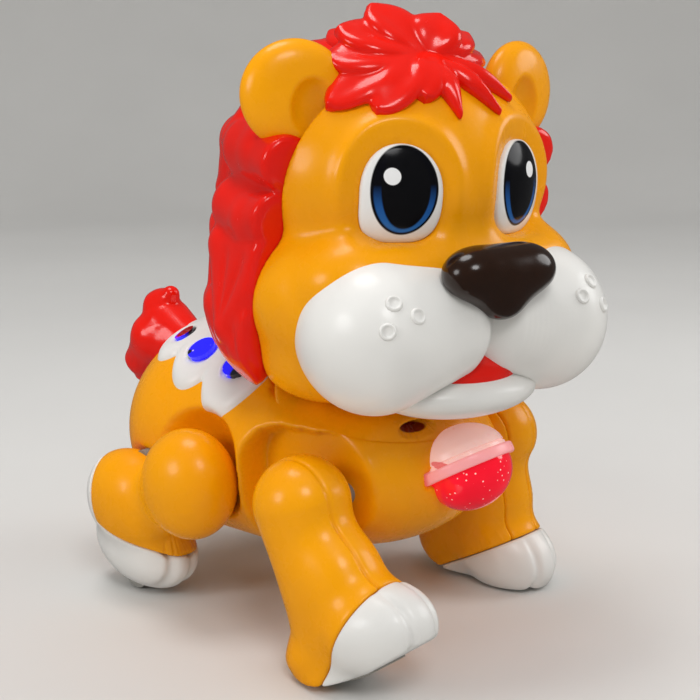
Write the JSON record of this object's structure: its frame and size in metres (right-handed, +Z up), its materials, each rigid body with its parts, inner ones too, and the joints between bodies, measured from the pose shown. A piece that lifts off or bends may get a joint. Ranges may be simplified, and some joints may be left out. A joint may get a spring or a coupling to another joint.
{
  "type": "musical crawling toy",
  "caption": "Crawling toy lion with a big turning head, red mane, swinging jointed legs, a battery crank drive, a chest lamp and a lit scalloped back panel.",
  "frame": {"origin": "on the floor under the middle of the toy's box", "axes": "-Y is the way the toy crawls, -X is the lion's right side, +Z up"},
  "size_m": [0.149, 0.2289, 0.2298],
  "materials": {
    "yellow": "smooth glossy moulding",
    "red": "smooth glossy moulding",
    "white": "smooth glossy moulding",
    "eye": "glossy, printed iris and pupil",
    "nose": "glossy dark brown",
    "nylon": "bare nylon",
    "steel": "bare",
    "cell": "plain sleeve",
    "black": "matt",
    "board": "solder mask",
    "blue_lens": "clear blue moulding",
    "lamp_rim": "translucent white, lit red",
    "red_lens": "clear red moulding with glitter",
    "led": "clear resin",
    "brass": "bare",
    "rubber": "soft grey"
  },
  "bodies": {
    "torso": {"neck_collar": "yellow", "neck_clip": "steel", "body_shell": "yellow", "belly_plate": "yellow", "battery_door": "yellow", "batteries": "cell", "battery_contacts": "steel", "belly_screws": "steel", "speaker": "black", "circuit_board": "board", "back_panel": "white", "window_lenses": "blue_lens", "back_leds": "led", "tail": "red", "lamp_cap": "white", "lamp_ring": "lamp_rim", "lamp_lens": "red_lens", "lamp_led": "led", "gearbox_right_plate": "nylon", "gearbox_left_plate": "nylon", "idler_pin": "steel", "motor": "steel"},
    "head": {"face_shell": "yellow", "mane_shell": "red", "forelock": "red", "right_ear": "yellow", "left_ear": "yellow", "right_eye": "eye", "left_eye": "eye", "muzzle": "white", "nose": "nose", "mouth_lining": "red", "lower_jaw": "white", "head_base": "nylon"},
    "switch": {"power_switch": "black"},
    "pinion": {"motor_pinion": "brass"},
    "idler": {"idler_gear": "nylon"},
    "crank": {"crank_gear": "nylon", "crank_shaft": "steel"},
    "right_front_leg": {"right_front_leg_outer": "yellow", "right_front_leg_inner": "yellow", "right_front_paw": "white", "right_front_pad": "rubber", "right_shoulder_lever": "nylon"},
    "right_hind_leg": {"right_hind_leg": "yellow", "right_hind_paw": "white", "right_hip_lever": "nylon"},
    "right_roller": {"right_hind_roller": "rubber"},
    "left_front_leg": {"left_front_leg_outer": "yellow", "left_front_leg_inner": "yellow", "left_front_paw": "white", "left_front_pad": "rubber", "left_shoulder_lever": "nylon"},
    "left_hind_leg": {"left_hind_leg": "yellow", "left_hind_paw": "white", "left_hip_lever": "nylon"},
    "left_roller": {"left_hind_roller": "rubber"}
  },
  "joints": [
    {"name": "head_turn", "type": "hinge", "parent": "torso", "child": "head", "pos_m": [0, -0.0392, 0.1], "axis": [0, 0, 1], "range_deg": [-4, 36]},
    {"name": "right_shoulder", "type": "hinge", "parent": "torso", "child": "right_front_leg", "pos_m": [0, -0.0492, 0.06], "axis": [1, 0, 0], "range_deg": [-1, 37]},
    {"name": "left_shoulder", "type": "hinge", "parent": "torso", "child": "left_front_leg", "pos_m": [0, -0.0492, 0.06], "axis": [1, 0, 0], "range_deg": [-37, 1]},
    {"name": "right_hip", "type": "hinge", "parent": "torso", "child": "right_hind_leg", "pos_m": [0, 0.0468, 0.056], "axis": [1, 0, 0], "range_deg": [-15.14, 0.41]},
    {"name": "left_hip", "type": "hinge", "parent": "torso", "child": "left_hind_leg", "pos_m": [0, 0.0468, 0.056], "axis": [1, 0, 0], "range_deg": [-0.41, 15.14]},
    {"name": "right_roller_spin", "type": "hinge", "parent": "right_hind_leg", "child": "right_roller", "pos_m": [0, 0.05308, 0.00741], "axis": [1, 0, 0], "continuous": true},
    {"name": "left_roller_spin", "type": "hinge", "parent": "left_hind_leg", "child": "left_roller", "pos_m": [0, 0.04052, 0.00741], "axis": [1, 0, 0], "continuous": true},
    {"name": "crank_spin", "type": "hinge", "parent": "torso", "child": "crank", "pos_m": [0, -0.0212, 0.056], "axis": [1, 0, 0], "continuous": true},
    {"name": "idler_spin", "type": "hinge", "parent": "torso", "child": "idler", "pos_m": [0, -0.0068, 0.07316], "axis": [1, 0, 0], "continuous": true},
    {"name": "pinion_spin", "type": "hinge", "parent": "torso", "child": "pinion", "pos_m": [0, 0.0124, 0.07316], "axis": [1, 0, 0], "continuous": true},
    {"name": "power_slide", "type": "slide", "parent": "torso", "child": "switch", "axis": [0, 1, 0], "range_m": [-0.002, 0.002]}
  ],
  "couplings": [
    {"joint": "left_shoulder", "follows": "right_shoulder", "ratio": -1},
    {"joint": "right_hip", "follows": "right_shoulder", "ratio": -0.4093},
    {"joint": "left_hip", "follows": "right_shoulder", "ratio": 0.4093},
    {"joint": "idler_spin", "follows": "crank_spin", "ratio": -3.6667},
    {"joint": "pinion_spin", "follows": "crank_spin", "ratio": 11}
  ]
}
